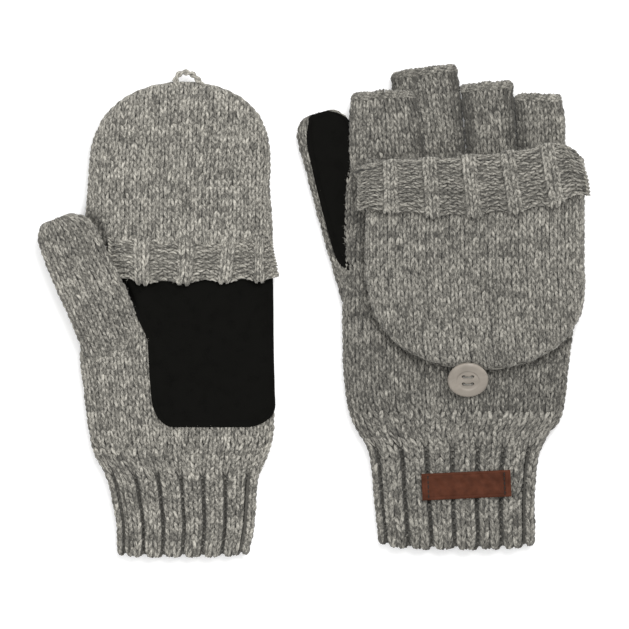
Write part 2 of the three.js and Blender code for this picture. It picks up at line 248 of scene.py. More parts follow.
def leather():
    made, shader = new_material("leather", (0.14, 0.045, 0.022), 0.6)
    tree = made.node_tree
    place = node(tree, "ShaderNodeTexCoord").outputs["Object"]
    grain = node(tree, "ShaderNodeTexVoronoi", [("Vector", place)], scale=1500.0)
    cloud = noise(tree, place, scale=220.0, detail=4.0)
    browns = [(0.3, (0.048, 0.0155, 0.0080)), (0.7, (0.088, 0.029, 0.0155))]
    colour_by(tree, shader, cloud.outputs["Fac"], browns)
    add_bump(tree, shader, grain.outputs["Distance"], 0.35)
    shader.inputs["Specular IOR Level"].default_value = 0.06
    return made


def plastic():
    made, shader = new_material("button plastic", (0.27, 0.24, 0.2), 0.42)
    tree = made.node_tree
    place = node(tree, "ShaderNodeTexCoord").outputs["Object"]
    swirl = noise(tree, place, scale=90.0, detail=3.0, distortion=1.5)
    greys = [(0.3, (0.235, 0.208, 0.176)), (0.7, (0.30, 0.266, 0.226))]
    colour_by(tree, shader, swirl.outputs["Fac"], greys)
    add_bump(tree, shader, noise(tree, place, scale=900.0).outputs["Fac"], 0.06)
    return made


def thread(name, dark, light):
    made, shader = new_material(name, light, 0.8)
    tree = made.node_tree
    place = node(tree, "ShaderNodeTexCoord").outputs["Object"]
    ply = noise(tree, place, scale=3000.0, detail=2.0)
    colour_by(tree, shader, ply.outputs["Fac"], [(0.35, dark), (0.65, light)])
    add_bump(tree, shader, ply.outputs["Fac"], 0.5)
    return made


# Meshes

def close_sheet(piece, outer, inner):
    """The strips that join the borders of a sheet's two skins."""
    for a, b, flip in (
        (outer[0], inner[0], False), (outer[-1], inner[-1], True),
        (outer[:, 0], inner[:, 0], True), (outer[:, -1], inner[:, -1], False),
    ):
        piece.add(np.stack([a, b]), lattice(2, len(a), flip=flip))


def fitted(made, cad_nodes=(), body=None):
    """Attaches a piece to the body that it rides on, and hides the CAD nodes that it stands for."""
    if body:
        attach(made, body)
    if cad_nodes:
        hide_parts(*cad_nodes)
    return made


class Piece:
    """Triangles gathered into one mesh, with each vertex's tone and its place along its yarn."""

    def __init__(self, name, side, material):
        self.name, self.side, self.material = name, side, material
        self.points, self.faces, self.tones, self.yarns = [], [], [], []
        self.count = 0

    def add(self, points, faces, tone=0.0, yarn=None):
        points = np.asarray(points, float).reshape(-1, 3)
        self.points.append(points)
        self.faces.append(np.asarray(faces) + self.count)
        self.tones.append(np.broadcast_to(tone, len(points)))
        self.yarns.append(points if yarn is None else yarn)
        self.count += len(points)

    def made(self):
        points = (np.concatenate(self.points) + ORIGIN[self.side]) * MM
        faces = np.concatenate(self.faces).astype(np.int32)
        mesh = bpy.data.meshes.new(self.name)
        mesh.vertices.add(len(points))
        mesh.vertices.foreach_set("co", points.astype(np.float32).ravel())
        mesh.loops.add(faces.size)
        mesh.loops.foreach_set("vertex_index", faces.ravel())
        mesh.polygons.add(len(faces))
        mesh.polygons.foreach_set("loop_start", np.arange(0, faces.size, 3, dtype=np.int32))
        mesh.polygons.foreach_set("use_smooth", np.ones(len(faces), bool))
        tone = mesh.attributes.new("tone", "FLOAT", "POINT")
        tone.data.foreach_set("value", np.concatenate(self.tones).astype(np.float32))
        yarn = mesh.attributes.new("yarn", "FLOAT_VECTOR", "POINT")
        yarn.data.foreach_set("vector", np.concatenate(self.yarns).astype(np.float32).ravel())
        mesh.update(calc_edges=True)
        mesh.validate()
        mesh.materials.append(self.material)
        made = bpy.data.objects.new(self.name, mesh)
        bpy.context.scene.collection.objects.link(made)
        return made


def lattice(rows, columns, closed=False, flip=False):
    """The triangles of a grid of points, row by row. A closed grid's rows are rings."""
    r, c = np.meshgrid(np.arange(rows - 1), np.arange(columns if closed else columns - 1), indexing="ij")
    a = (r * columns + c).ravel()
    b = (r * columns + (c + 1) % columns).ravel()
    d, e = a + columns, b + columns
    made = np.concatenate([np.stack([a, b, e], 1), np.stack([a, e, d], 1)])
    return made[:, ::-1] if flip else made


def curve(rows, at):
    """Smooth values at the places `at`, through rows of (place, value, value, ...), without overshoot."""
    rows = np.array(rows, float)
    at = np.asarray(at, float)
    x, y = rows[:, 0], rows[:, 1:]
    step = np.diff(x)[:, None]
    slope = np.diff(y, axis=0) / step
    a, b = slope[:-1], slope[1:]
    inner = np.where(a * b > 0, 2 * a * b / np.where(a + b == 0, 1, a + b), 0)
    tangent = np.vstack([slope[:1], inner, slope[-1:]])
    i = np.clip(np.searchsorted(x, at) - 1, 0, len(x) - 2)
    t = ((at - x[i]) / step[i, 0])[:, None]
    return (
        (1 + 2 * t) * (1 - t) ** 2 * y[i]
        + t * (1 - t) ** 2 * step[i] * tangent[i]
        + t * t * (3 - 2 * t) * y[i + 1]
        + t * t * (t - 1) * step[i] * tangent[i + 1]
    )


def ease(value, start, end):
    """0 up to start, 1 from end on, and smooth between."""
    t = np.clip((np.asarray(value, float) - start) / (end - start), 0, 1)
    return t * t * (3 - 2 * t)


def signed_power(value, power):
    return np.sign(value) * np.abs(value) ** power


def tube(rows, square=5.0, round_off=2.2, around=160, step=1.2):
    """A flattened tube as a grid of points, from rows of (y, left, right, low, high). Each ring starts in
    the middle of the top, turns to the right, and is even along its length."""
    rows = np.array(rows, float)
    dense = np.linspace(rows[0, 0], rows[-1, 0], 800)
    high = curve(rows, dense)[:, 3]
    run = np.concatenate([[0], np.cumsum(np.hypot(np.diff(dense), np.diff(high)))])
    ys = np.interp(np.linspace(0, run[-1], max(4, round(run[-1] / step))), run, dense)
    angle = np.linspace(0, 2 * np.pi, 4 * around + 1)
    across = signed_power(np.sin(angle), 2 / square)
    up = signed_power(np.cos(angle), 2 / round_off)
    grid, girth = [], []
    for y, (left, right, low, top) in zip(ys, curve(rows, ys)):
        x = (left + right) / 2 + (right - left) / 2 * across
        z = (low + top) / 2 + (top - low) / 2 * up
        run = np.concatenate([[0], np.cumsum(np.hypot(np.diff(x), np.diff(z)))])
        even = np.linspace(0, run[-1], around, endpoint=False)
        grid.append(np.column_stack([np.interp(even, run, x), np.full(around, y), np.interp(even, run, z)]))
        girth.append(run[-1])
    return np.array(grid), np.array(girth)


def turned(points, pivot, lean):
    """Points of a part that stands along +Y at the origin, leaned to the left and set down at pivot."""
    c, s = math.cos(math.radians(lean)), math.sin(math.radians(lean))
    x, y, z = points[..., 0], points[..., 1], points[..., 2]
    return np.stack([pivot[0] + c * x - s * y, pivot[1] + s * x + c * y, z], -1)


def creases(grid, seed, height=0.5, size=30):
    """Soft uneven waves in the top of a fabric that lies flat."""
    rng = np.random.default_rng(seed)
    x, y, z = grid[..., 0], grid[..., 1], grid[..., 2]
    wave = np.zeros_like(x)
    for _ in range(7):
        heading = rng.uniform(0, np.pi)
        length = size * rng.uniform(0.5, 1.6)
        phase = rng.uniform(0, 2 * np.pi)
        wave += np.sin((x * np.cos(heading) + y * np.sin(heading)) * 2 * np.pi / length + phase)
    middle = (z.max(1) + z.min(1))[:, None] / 2
    grid = grid.copy()
    grid[..., 2] += height * wave / 2.6 * np.clip((z - middle) / 3, 0, 1)
    return grid


class Fabric:
    """A knitted surface over a grid of points. A place on it is a column, a row, and a height above it.

    Columns are counted from the first point of each ring. Where the tube narrows, either the stitches
    narrow with it, or, on a face, columns keep their width and end at the side folds."""

    def __init__(self, grid, row, girth=None, columns=None, face=0.0, closed=True):
        self.grid, self.closed = grid, closed
        self.girth = girth
        self.columns = columns
        self.face = face
        middle = grid[:, 0] if closed else grid[:, grid.shape[1] // 2]
        length = np.linalg.norm(np.diff(middle, axis=0), axis=1).sum()
        self.rows = max(1, round(length / row))
        self.row = row
        self.relief = self.spread = self.drop = None
        wide = np.concatenate([grid[:, -1:], grid, grid[:, :1]], 1) if closed else grid
        du = np.gradient(wide, axis=1)
        dv = np.gradient(wide, axis=0)
        normal = np.cross(du, dv)
        normal /= np.maximum(np.linalg.norm(normal, axis=-1, keepdims=True), 1e-9)
        self.normal = normal[:, 1:-1] if closed else normal

    def at(self, column, row, height):
        column, row, height = np.broadcast_arrays(column, row, height)
        if self.relief:
            height = height + self.relief(column, row)
        if self.drop:
            row = row - self.drop(column, row)
        if self.spread:
            column = self.spread(column, row)
        v = row / self.rows * (len(self.grid) - 1)
        if self.columns:
            u = column / self.columns
        else:
            u = self.face + column * COLUMN / np.interp(v, np.arange(len(self.girth)), self.girth)
        across = self.grid.shape[1]
        u = u * (across if self.closed else across - 1)
        if not self.closed:
            u = np.clip(u, 0, across - 1)
        i = np.clip(np.floor(v).astype(int), 0, len(self.grid) - 2)
        j = np.floor(u).astype(int)
        if not self.closed:
            j = np.clip(j, 0, across - 2)
        a = (v - i)[..., None]
        b = (u - j)[..., None]
        j0, j1 = j % across, (j + 1) % across

        def mixed(field):
            low = field[i, j0] * (1 - b) + field[i, j1] * b
            high = field[i + 1, j0] * (1 - b) + field[i + 1, j1] * b
            return low * (1 - a) + high * a

        return mixed(self.grid) + mixed(self.normal) * (height - RISE)[..., None]

    def column_at(self, x, row, place=None, under=False):
        """The columns at the places x across the top or the underside, in the rows given."""
        quarter = self.columns / 4 if self.columns else np.median(self.girth) / 4 / COLUMN
        middle = 2 * quarter if under and self.columns else 0
        tried = middle + np.linspace(-quarter, quarter, 121)
        found = []
        for one_x, one_row in zip(x, row):
            points = self.at(tried, one_row, RISE)
            across = points[:, 0]
            if place:
                lean = math.radians(place["lean"])
                away = points[:, :2] - np.array(place["pivot"])
                across = away[:, 0] * math.cos(lean) + away[:, 1] * math.sin(lean)
            order = np.argsort(across)
            found.append(np.interp(one_x, across[order], tried[order]))
        return np.array(found)

    def half_columns(self, row):
        """How many columns there are from the middle of a face to its side fold."""
        v = row / self.rows * (len(self.girth) - 1)
        return np.interp(v, np.arange(len(self.girth)), self.girth) / 4 / COLUMN


# Stitches

SIDES = 5  # round a strand of yarn
STATIONS = 5  # along a strand


def strand(path, thickness=1.0, flatness=0.85):
    """One short strand of yarn as a template: offsets in columns, rows and millimetres, and triangles.
    path turns the distance along the strand, from 0 to 1, into (column, row, height)."""
    t = np.linspace(0, 1, STATIONS)
    column, row, height = path(t)
    du, dv = np.gradient(column) * COLUMN, np.gradient(row) * COLUMN
    size = np.hypot(du, dv)
    taper = np.sin(np.pi * (0.13 + 0.74 * t)) ** 0.6
    angle = -np.pi / 2 + 2 * np.pi * np.arange(SIDES) / SIDES
    radius = YARN * thickness * taper[:, None]
    sideways = radius * np.cos(angle)
    ring = np.stack([
        column[:, None] + sideways * (-dv / size)[:, None] / COLUMN,
        row[:, None] + sideways * (du / size)[:, None] / COLUMN,
        height[:, None] + radius * flatness * np.sin(angle),
    ], -1).reshape(-1, 3)
    ends = np.array([[column[0], row[0], height[0]], [column[-1], row[-1], height[-1]]])
    points = np.vstack([ring, ends])
    faces = lattice(STATIONS, SIDES, closed=True)
    first, last = len(ring), len(ring) + 1
    k = np.arange(SIDES)
    top = (STATIONS - 1) * SIDES
    fans = [
        np.stack([np.full(SIDES, first), (k + 1) % SIDES, k], 1),
        np.stack([np.full(SIDES, last), top + k, top + (k + 1) % SIDES], 1),
    ]
    along = np.append(np.repeat(t * 6, SIDES), [0, 6])
    around = np.append(np.tile(np.arange(SIDES) * 1.5, STATIONS), [3, 3])
    return points, np.concatenate([faces, *fans]), along, around


def leg(side):
    """One leg of a knit stitch: it leans outwards and stands highest in its middle."""
    return strand(lambda t: (
        0.5 + side * (0.06 + 0.33 * t ** 0.85),
        -0.3 + 1.62 * t,
        0.2 + 1.0 * np.sin(np.pi * (0.05 + 0.82 * t)),
    ))


def bump(first_column, first_row, rise):
    """Half of a purl stitch: a low arch across the column."""
    return strand(lambda t: (
        first_column + 0.86 * (t - 0.5) + 0.5,
        first_row + rise * np.sin(np.pi * t),
        -0.1 + 1.15 * np.sin(np.pi * (0.04 + 0.92 * t)),
    ), thickness=0.95)


KNIT_STITCH = [leg(-1), leg(1)]
PURL_STITCH = [bump(0.0, 0.05, 0.34), bump(0.5, 0.95, -0.34)]


def wandering_tone(count, rng):
    """A heathered yarn's tone, stitch after stitch: slow drifts and short flecks."""
    slow = np.convolve(rng.normal(size=count + 40), np.hanning(26) / 3.1, "same")[:count]
    quick = np.convolve(rng.normal(size=count + 40), np.hanning(6) / 1.5, "same")[:count]
    return 0.022 * slow + 0.03 * quick + 0.02 * rng.normal(size=count)


def fuzz(piece, fabric, columns, rows, rng, share=2.6):
    """Loose fibres that stand off the yarn, as thin bent strips."""
    if not len(columns):
        return
    count = int(len(columns) * share)
    chosen = rng.integers(0, len(columns), count)
    start = np.stack([columns[chosen] + rng.random(count), rows[chosen] + rng.random(count)], 1)
    heading = rng.uniform(0, 2 * np.pi, count)
    reach = rng.uniform(0.15, 0.5, count)
    aim = np.stack([np.cos(heading), np.sin(heading)], 1) * reach[:, None]
    path = []
    for t, height in ((0.0, 1.4), (0.5, 2.3), (1.0, 2.6)):
        place = start + aim * t
        lift = 1.4 + (height - 1.4) * rng.uniform(0.5, 1.7, count)
        path.append(fabric.at(place[:, 0], place[:, 1], lift))
    path = np.stack(path, 1)
    along = path[:, 2] - path[:, 0]
    side = np.cross(along, rng.normal(size=(count, 3)))
    side /= np.maximum(np.linalg.norm(side, axis=1, keepdims=True), 1e-9)
    width = 0.05 * np.array([1.0, 0.8, 0.3])
    points = np.stack([path + side[:, None] * width[:, None], path - side[:, None] * width[:, None]], 2)
    strip = np.array([(0, 1, 3), (0, 3, 2), (2, 3, 5), (2, 5, 4)])
    faces = (strip[None] + 6 * np.arange(count)[:, None, None]).reshape(-1, 3)
    own = np.repeat(rng.uniform(0, 900, count), 6)
    yarn = np.stack([own, own * 0.7, own * 0.3], 1)
    piece.add(points.reshape(-1, 3), faces, np.repeat(rng.normal(0.12, 0.08, count), 6), yarn)


def lay_stitches(piece, fabric, columns, rows, seed, is_purl=None, cut=None, lighter=0.0):
    """Covers a fabric's cells with stitches. columns and rows are the cells' lower corners, in the order
    in which the yarn runs."""
    rng = np.random.default_rng(seed)
    if cut:
        kept = ~cut(columns, rows)
        columns, rows = columns[kept], rows[kept]
    tone = wandering_tone(len(columns), rng) + lighter
    purl = is_purl(columns, rows) if is_purl else np.zeros(len(columns), bool)
    shift = rng.normal(scale=(0.04, 0.07, 0.12), size=(len(columns), 3)) * np.where(purl, 1.4, 1)[:, None]
    for stitch, chosen in ((KNIT_STITCH, ~purl), (PURL_STITCH, purl)):
        cells = np.stack([columns, rows, np.zeros(len(columns))], 1)[chosen] + shift[chosen]
        if not len(cells):
            continue
        for points, faces, along, around in stitch:
            places = cells[:, None] + points[None]
            world = fabric.at(places[..., 0], places[..., 1], places[..., 2])
            offsets = np.arange(len(cells)) * len(points)
            own = rng.uniform(0, 900, size=(len(cells), 1))
            lean = tone[chosen] + rng.normal(scale=0.05, size=len(cells))
            yarn = np.stack([along + own, around + own * 0.7, own + 0 * along], -1)
            piece.add(
                world, (faces[None] + offsets[:, None, None]).reshape(-1, 3),
                np.repeat(lean, len(points)), yarn.reshape(-1, 3),
            )
    if cut:
        around = [(dc, dr) for dc in (-1, 0, 1) for dr in (-1, 0, 1)]
        clear = ~np.any([cut(columns + dc, rows + dr) for dc, dr in around], axis=0)
        columns, rows = columns[clear], rows[clear]
    fuzz(piece, fabric, columns, rows, rng)


PAINTED_GAP_SHADE = -0.3  # painted shade: how much darker the cloth seen between the stitches is drawn


def shell(piece, fabric, low=0, high=None, layer=KNIT, close_end=False, tone=PAINTED_GAP_SHADE):
    """The cloth behind the stitches: an outer and an inner skin, joined at the open ends. Its tone is
    painted shade, darker still where it lies deep."""
    high = fabric.rows if high is None else high
    columns = fabric.columns
    inner_high = high - (2 if close_end else 0)
    skins = []
    for depth, top in ((0.1, high), (-layer, inner_high)):
        rows = np.linspace(low, top, max(2, round(top - low) + 1))
        places = np.arange(0, columns, 0.5) if fabric.closed else np.linspace(0, columns, columns * 2 + 1)
        c, r = np.meshgrid(places, rows)
        skins.append(fabric.at(c, r, depth))
        # painted shade: the deeper the cloth lies, the darker it is drawn
        tones = tone + 0.12 * np.minimum(fabric.relief(c, r), 0).ravel() if fabric.relief else tone
    for skin, flip in zip(skins, (False, True)):
        faces = lattice(*skin.shape[:2], closed=fabric.closed, flip=flip)
        piece.add(skin, faces, tones, skin.reshape(-1, 3) * 0.8)
    outer, inner = skins
    ends = [(outer[0], inner[0], True)]
    if not close_end:
        ends.append((outer[-1], inner[-1], False))
    for a, b, flip in ends:
        rim = np.stack([a, b])
        faces = lattice(2, len(a), closed=fabric.closed, flip=not flip)
        piece.add(rim, faces, tone, rim.reshape(-1, 3) * 0.8)
    if close_end:
        for skin, flip in ((outer[-1], False), (inner[-1], True)):
            around = np.arange(len(skin))
            fan = np.stack([around, (around + 1) % len(skin), np.full(len(skin), len(skin))], 1)
            points = np.vstack([skin, skin.mean(0)])
            piece.add(points, fan[:, ::-1] if flip else fan, tone, points * 0.8)


def all_purl(columns, rows):
    return np.ones(len(columns), bool)


def all_cells(columns, first_row, last_row):
    r, c = np.meshgrid(np.arange(first_row, last_row), np.arange(columns), indexing="ij")
    return c.ravel().astype(float), r.ravel().astype(float)


def face_cells(fabric):
    """The whole columns that fit on one face of a tube, row by row."""
    columns, rows = [], []
    for r in np.arange(fabric.rows):
        reach = int(np.floor(fabric.half_columns(r + 0.5) + 0.35))
        columns.append(np.arange(-reach, reach, dtype=float))
        rows.append(np.full(2 * reach, float(r)))
    return np.concatenate(columns), np.concatenate(rows)


def two_faced(piece, grid, girth, seed, row, layer):
    """A closed pocket: knit on both faces, with columns that end at the side folds."""
    for face, offset in ((0.0, 0), (0.5, 1)):
        fabric = Fabric(grid, row, girth, face=face)
        lay_stitches(piece, fabric, *face_cells(fabric), seed + offset)
    whole = Fabric(grid, row, columns=60)
    shell(piece, whole, close_end=True, layer=layer)
    rows = np.arange(0, whole.rows, 1.0)
    for fold in (15, 45):
        lay_stitches(piece, whole, np.full(len(rows), fold - 0.5), rows, seed + fold)


# Ribs: two knit columns and one purl column that sinks between them

RIB = 3
CUFF_COLUMNS = 14 * RIB
RIB_SINK = 3.3
PAINTED_GROOVE_SHADE = 0.17  # painted shade: how much darker the yarn between the ribs is drawn
PAINTED_FOLD_SHADE = 0.26  # painted shade on the yarn where two stalls press together


def rib_sink(column):
    """How deep the cloth lies between the ribs. Some grooves are pressed shut more than others."""
    local = np.mod(column, RIB)
    deep = RIB_SINK * (0.75 + 0.25 * np.sin(2.3 * np.floor(column / RIB)))
    near = np.clip(1 - np.abs(local - 2.5) / 0.75, 0, 1)
    return -deep * near * near * (3 - 2 * near) + 0.35 * np.sin(np.pi * np.clip(local / 2, 0, 1))


def rib_spread(column):
    local = np.mod(column, RIB)
    return column - local + np.interp(local, (0, 2, 3), (0.04, 2.55, 3.04))


def body_fabrics(side, rows, cuff_columns, hand_columns, cuff_rows, grid_change):
    """The cuff and the hand lie on one surface. The cuff's ribs die away over its last rows, and the hand
    has its own number of columns."""
    grid = grid_change(tube(rows, square=5.5)[0])
    x, y = grid[..., 0], grid[..., 1]
    grid[..., 1] += 2.2 * (x / 38) ** 4 * (1 - ease(y, 2, 20))
    cuff_fabric = Fabric(grid, ROW[side], columns=cuff_columns)
    hand_fabric = Fabric(grid, ROW[side], columns=hand_columns)

    def strength(place):
        return 1 - ease(place, cuff_rows - 7, cuff_rows - 2)

    def scallop(c, r):
        return 0.3 * (1 - ease(r, 0, 2.5)) * np.sin(np.pi * np.clip(np.mod(c, RIB) / 2, 0, 1))

    cuff_fabric.relief = lambda c, r: strength(r) * rib_sink(c)
    cuff_fabric.spread = lambda c, r: c + strength(r) * (rib_spread(c) - c)
    cuff_fabric.drop = scallop
    return cuff_fabric, hand_fabric


def body_pieces(side, fabrics, cuff_rows, seed, cut):
    cuff_fabric, hand_fabric = fabrics
    cuff_piece = Piece(f"{side}_cuff_knit", side, WOOL[side])
    groove = lambda c, r: (np.mod(c, RIB) == 2) & (r < cuff_rows - 5)
    rib = lambda c, r: ~groove(c, r)
    cells = all_cells(cuff_fabric.columns, 0, cuff_rows)
    tone = CUFF_TONE[side]
    lay_stitches(cuff_piece, cuff_fabric, *cells, seed, cut=groove, lighter=tone)
    # the purl stitches in the grooves are painted darker, as shade
    lay_stitches(cuff_piece, cuff_fabric, *cells, seed + 2, all_purl, cut=rib, lighter=tone - PAINTED_GROOVE_SHADE)
    shell(cuff_piece, cuff_fabric, 0, cuff_rows, layer=2.0)
    hand_piece = Piece(f"{side}_hand_knit", side, WOOL[side])
    cells = all_cells(hand_fabric.columns, cuff_rows, hand_fabric.rows)
    lay_stitches(hand_piece, hand_fabric, *cells, seed + 1, cut=cut, lighter=HAND_TONE[side])
    shell(hand_piece, hand_fabric, cuff_rows, hand_fabric.rows, layer=1.2)
    for piece, cad in ((cuff_piece, "cuff"), (hand_piece, "hand")):
        fitted(piece.made(), [f"{side}_{cad}"], f"{side}_hand")


def stall(side, name, rows, low, depth, tilt, seed, pressed=()):
    """A half-finger stall, open at the end, with a rolled edge. tilt slants the edge up to the right. The
    folds where neighbours press together, at those shares of the way round, are painted darker as shade."""
    rows = [(y, left, right, low, low + depth) for y, left, right in rows]
    grid, girth = tube(rows, square=3.2, round_off=2.1, around=96)
    middle = grid[..., 0].mean(1)[:, None]
    grid[..., 1] += tilt * (grid[..., 0] - middle) * np.linspace(0, 1, len(grid))[:, None]
    grid = creases(grid, seed, height=0.3, size=18)
    columns = round(girth.mean() / COLUMN)
    fabric = Fabric(grid, ROW[side], columns=columns)
    edge = fabric.rows - 1
    fabric.relief = lambda c, r: (
        0.55 * ease(r, edge - 0.5, edge + 0.3) - 0.7 * np.exp(-((r - edge + 0.4) / 0.3) ** 2)
    )
    piece = Piece(f"{side}_{name}_knit", side, WOOL[side])
    cells = all_cells(columns, 0, edge)
    tone = STALL_TONE[side]
    # painted shade: the columns near the pressed folds are drawn darker
    for fold in pressed:
        tone = tone - PAINTED_FOLD_SHADE * (1 - ease(np.abs((cells[0] + 0.5) / columns - fold) * columns, 0.4, 2.2))
    lay_stitches(piece, fabric, *cells, seed, lighter=tone)
    around = np.arange(0, columns, 0.5)
    for shift in (0.0, 0.35):
        roll = np.full(len(around), edge + shift)
        lay_stitches(piece, fabric, around + shift, roll, seed + 1, all_purl)
    # the stall's cloth behind the stitches carries a lighter painted shade
    shell(piece, fabric, layer=1.1, tone=-0.12)
    return fitted(piece.made(), [f"{side}_{name}"], f"{side}_hand")


# Suede patches

def patch(name, side, fabric, left, right, rows, lift, corner, top_corner=None, right_corner=None):
    """A sheet of suede over a fabric, between the columns left(row) and right(row). Its edge is rolled
    down, and a sewn channel runs just inside the edge. A corner is (columns, rows)."""
    low, high = rows
    down = across = 72
    piece = Piece(name, side, SUEDE)
    r = low + (high - low) * (0.5 - 0.5 * np.cos(np.linspace(0, np.pi, down)))
    inset = [round_corner(r - low, *corner), round_corner(r - low, *(right_corner or corner))]
    if top_corner:
        inset = [one + round_corner(high - r, *top_corner) for one in inset]
    a, b = left(r) + inset[0], right(r) - inset[1]
    c = a[:, None] + (b - a)[:, None] * (0.5 - 0.5 * np.cos(np.linspace(0, np.pi, across)))
    row = np.broadcast_to(r[:, None], c.shape)
    edge = np.minimum((c - a[:, None]), (b[:, None] - c)) * COLUMN
    edge = np.minimum(edge, np.minimum(row - low, high - row) * fabric.row)
    channel = 0.45 * np.exp(-((edge - 2.4) / 0.45) ** 2)
    swell = 0.25 * np.sin(c * 0.9 + 1) * np.sin(row * 0.6)
    top = RISE + lift * ease(edge, -0.9, 0.9) + swell * ease(edge, 2, 8) - channel
    skins = [fabric.at(c, row, top), fabric.at(c, row, np.full_like(c, 0.6))]
    for skin, flip in zip(skins, (False, True)):
        piece.add(skin, lattice(down, across, flip=flip))
    close_sheet(piece, *skins)
    return piece.made()


def edge_lines(rows, edges):
    """The left and the right edge as functions of the row."""
    left, right = np.sort(np.array(edges), axis=0)
    return lambda r: np.interp(r, rows, left), lambda r: np.interp(r, rows, right)


def round_corner(distance, wide, high):
    """How far a rounded corner draws an edge in, at a distance from the corner's end."""
    left = 1 - np.clip(distance / high, 0, 1)
    return wide * (1 - np.sqrt(np.clip(1 - left ** 2, 0, 1)))


def covered(fabric, left, right, rows, turn=0):
    """Which cells a patch hides, so that they get no stitches. Columns past turn count from the other end."""
    low, high = rows

    def test(columns, row):
        near = np.where(columns > turn, columns - fabric.columns, columns) if turn else columns
        inside = (near > left(row + 0.5) + 0.4) & (near < right(row + 0.5) - 1.4)
        return inside & (row > low + 0.4) & (row < high - 1.4)

    return test


# Buttons, loops and labels

def cord_mesh(piece, path, radius, strands=2, turns=6, seed=0):
    """Twisted yarn along a smooth path."""
    path = np.array(path, float)
    run = np.concatenate([[0], np.cumsum(np.linalg.norm(np.diff(path, axis=0), axis=1))])
    rows = np.column_stack([run, path])
    t = np.linspace(0, run[-1], 90)
    middle = curve(rows, t)
    ahead = np.gradient(middle, axis=0)
    ahead /= np.linalg.norm(ahead, axis=1, keepdims=True)
    up = np.array([0.0, 0.0, 1.0])
    side = np.cross(ahead, up)
    side /= np.linalg.norm(side, axis=1, keepdims=True)
    lift = np.cross(side, ahead)
    for k in range(strands):
        angle = 2 * np.pi * (k / strands + turns * t / run[-1])
        centre = middle + radius * (side * np.cos(angle)[:, None] + lift * np.sin(angle)[:, None])
        around = 2 * np.pi * np.arange(8) / 8
        ring = side[:, None] * np.cos(around)[:, None] + lift[:, None] * np.sin(around)[:, None]
        points = centre[:, None] + ring * radius * 1.05
        yarn = np.stack(np.broadcast_arrays(t[:, None] * 1.5 + 50 * k, around * 1.5, seed + 0 * around), -1)
        piece.add(points, lattice(len(t), 8, closed=True, flip=True), 0.1, yarn.reshape(-1, 3))


def loop(side, path, seed):
    piece = Piece(f"{side}_loop_yarn", side, WOOL[side])
    cord_mesh(piece, path, 0.8, turns=3.5, seed=seed)
    fitted(piece.made(), [f"{side}_button_loop"], f"{side}_cap")


def label(side, middle, z, facing, turn):
    """A stitched leather tag. Its border is pressed in, and it buckles a little over the ribs."""
    long, high, thick = 44.5, 13.3, 1.3
    piece = Piece(f"{side}_label_leather", side, LEATHER)
    x = long * (np.linspace(0, 1, 150) - 0.5)
    y = high * (np.linspace(0, 1, 50) - 0.5)
    gx, gy = np.meshgrid(x, y)
    edge = np.minimum(long / 2 - np.abs(gx), high / 2 - np.abs(gy))
    border = 0.22 * np.exp(-((edge - 1.5) / 0.25) ** 2)
    buckle = 0.35 * np.sin(gx * 2 * np.pi / 11.5 + 0.6) + 0.12 * np.sin(gx * 1.1 + gy * 0.9)
    body = buckle * ease(edge, 0, 4)
    top = thick - 0.35 * (1 - ease(edge, 0, 0.5)) - border + body
    c, s = math.cos(math.radians(turn)), math.sin(math.radians(turn))
    px = middle[0] + c * gx * facing - s * gy
    py = middle[1] + s * gx * facing + c * gy
    outer = np.stack([px, py, z + facing * top], -1)
    inner = np.stack([px, py, z + facing * body * 0.5], -1)
    piece.add(outer, lattice(*gx.shape))
    piece.add(inner, lattice(*gx.shape, flip=True))
    close_sheet(piece, outer, inner)
    fitted(piece.made(), [f"{side}_label"], f"{side}_hand")

    sewing = Piece(f"{side}_label_stitches", side, DARK_THREAD)
    for end in (-1, 1):
        for k in range(5):
            sx = end * (long / 2 - 3.2)
            sy = (k - 2) * 2.3
            path = []
            for t in np.linspace(-1, 1, 7):
                rise = z + facing * (thick + 0.18 * math.cos(t * math.pi / 2) - 0.1 + 0.12 * (1 - t * t))
                ax, ay = sx * facing, sy + 0.85 * t
                path.append((middle[0] + c * ax - s * ay, middle[1] + s * ax + c * ay, rise))
            cord_mesh(sewing, path, 0.2, turns=1)
    fitted(sewing.made(), body=f"{side}_hand")


# Left mitten

LEFT_HINGE = 156
LEFT_CUFF_ROWS = 18
LEFT_THUMB = {"pivot": (-34.5, 107.6), "lean": 22.8}
THUMB_STRAIGHT = 54.0  # the left thumb's length up to its round tip


def press_under_thumb(grid, height=5.2):
    """The hand and the cap give way under the thumb that lies on them."""
    pivot, lean = LEFT_THUMB["pivot"], math.radians(LEFT_THUMB["lean"])
    x, y, z = grid[..., 0] - pivot[0], grid[..., 1] - pivot[1], grid[..., 2]
    along = y * math.cos(lean) - x * math.sin(lean)
    side = x * math.cos(lean) + y * math.sin(lean)
    away = np.hypot(side, np.maximum(along - THUMB_STRAIGHT, 0))
    inside = (1 - ease(away, 16, 21)) * ease(along, 6, 22)
    grid = grid.copy()
    grid[..., 2] = np.where(z > height, z + (height - z) * inside, z)
    return grid


def make_room_for_button(grid):
    """The back of the left mitten is dished where its button lies under it."""
    x, y, z = grid[..., 0], grid[..., 1], grid[..., 2]
    away = np.hypot(x - 1.8, y - 69.5)
    grid = grid.copy()
    grid[..., 2] = np.where(z < 5, z + (1 - ease(away, 10.5, 16)) * np.maximum(3.6 - z, 0), z)
    return grid


def row_at(fabric, y):
    """The row at a height y above the cuff's edge."""
    heights = fabric.grid[:, 0, 1]
    return np.interp(y, heights, np.linspace(0, fabric.rows, len(heights)))


def left_outline(r, fabric):
    y = 2 + r / fabric.rows * (LEFT_HINGE - 2.5)
    x = curve([(60, -15), (76, -14.8), (90, -15.8), (108, -16.8), (121, -22.5), (137, -28.8), (150, -34)], y)
    return fabric.column_at(x[:, 0], r)


